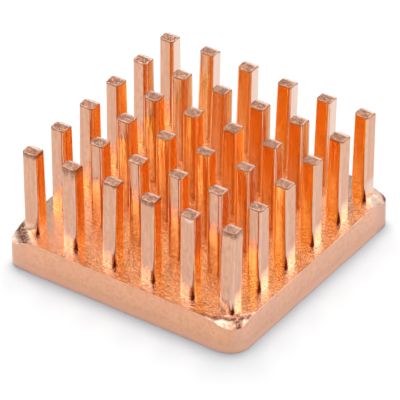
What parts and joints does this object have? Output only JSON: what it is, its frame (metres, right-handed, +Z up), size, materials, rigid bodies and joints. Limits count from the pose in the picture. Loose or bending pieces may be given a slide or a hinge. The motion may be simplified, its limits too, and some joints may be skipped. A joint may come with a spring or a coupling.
{
  "type": "pin fin heat sink",
  "caption": "Square copper pin fin heat sink: a thick base plate with rounded corners and a field of slim square pins, forged in one piece.",
  "frame": {"origin": "middle of the underside, where the base plate sits on the chip it cools", "axes": "+Z up along the pins, away from the chip; X and Y along the sides of the square base, with the picture's front corner at +X -Y"},
  "size_m": [0.014, 0.014, 0.007],
  "materials": {
    "copper": "bare forged copper, satin base and brighter pin faces"
  },
  "bodies": {
    "root": {"heat_sink": "copper"}
  },
  "joints": []
}
